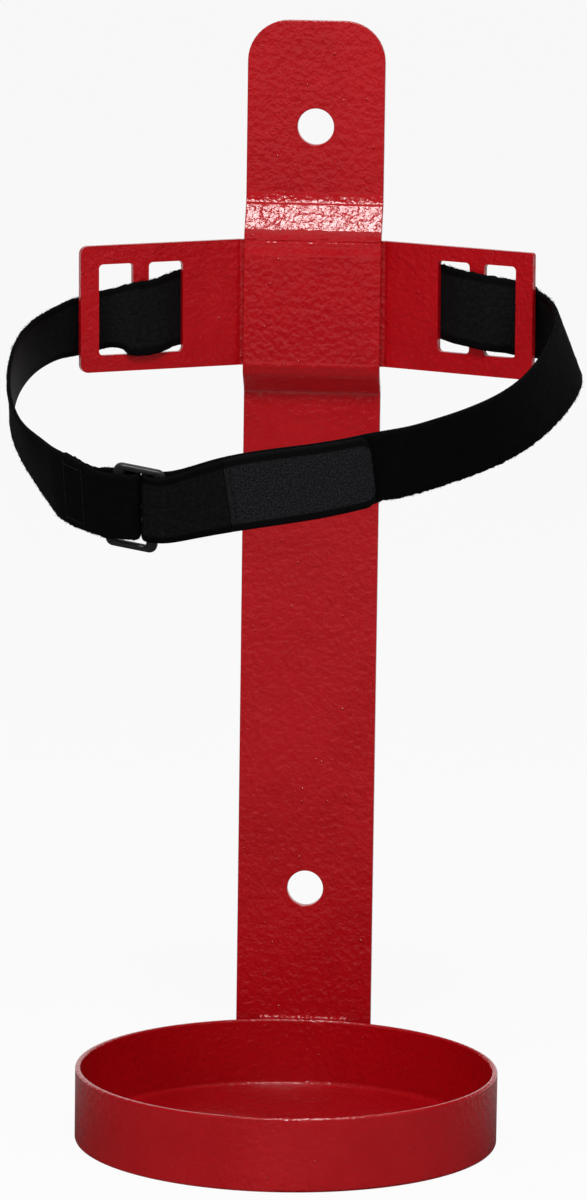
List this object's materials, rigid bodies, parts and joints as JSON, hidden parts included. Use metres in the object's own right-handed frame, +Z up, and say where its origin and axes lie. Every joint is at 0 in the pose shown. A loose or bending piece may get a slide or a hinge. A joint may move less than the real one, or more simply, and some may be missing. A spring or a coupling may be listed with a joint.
{
  "type": "fire extinguisher bracket",
  "caption": "Wall bracket for a fire extinguisher: a drilled, stepped steel strip with a round cup at its foot and slotted wings that carry a hook-and-loop strap with a ring.",
  "frame": {"origin": "centre of the cup's underside", "axes": "+Z up the axis of the cylinder that the cup holds, +Y towards the wall, +X to the right seen from the front"},
  "size_m": [0.207, 0.1693, 0.402],
  "materials": {
    "red_steel": "semi-gloss powder coat",
    "loop_tape": "napped loop pile outside, smooth weave inside",
    "hook_tape": "smooth woven back",
    "black_plastic": "moulded"
  },
  "bodies": {
    "root": {"back_strip": "red_steel", "cross_plate": "red_steel", "cup": "red_steel", "cup_weld": "red_steel", "strap": "loop_tape", "hook_tab": "hook_tape", "strap_ring": "black_plastic"}
  },
  "joints": []
}
